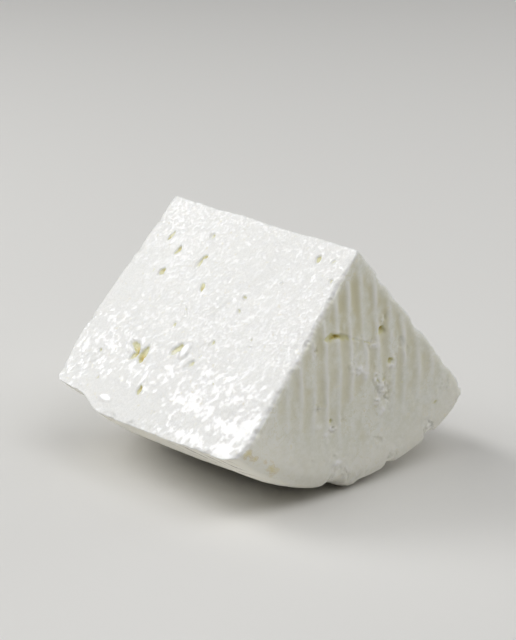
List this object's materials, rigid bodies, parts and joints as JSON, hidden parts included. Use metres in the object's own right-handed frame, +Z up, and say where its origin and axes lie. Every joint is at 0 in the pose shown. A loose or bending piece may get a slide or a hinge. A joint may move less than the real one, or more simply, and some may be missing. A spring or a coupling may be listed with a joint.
{
  "type": "fresh goat cheese wedge",
  "caption": "Loose wedge cut from a small round fresh goat cheese, lying on its curved rim with the cut ridge up; one end face carries the ribs of a draining mat.",
  "frame": {"origin": "bottom centre of the wedge's box, on the flat spot of the rim that it rests on", "axes": "+Z up, from the rim to the cut ridge; Y along the ridge, which is the wheel's axis, with the ribbed end face at -Y; X across the wedge, with the large cut face that the picture shows at -X"},
  "size_m": [0.0808, 0.0742, 0.0604],
  "materials": {
    "fresh_curd": "moist, faintly glossy white curd; matte on the drained faces"
  },
  "bodies": {
    "root": {"cheese_wedge": "fresh_curd"}
  },
  "joints": []
}
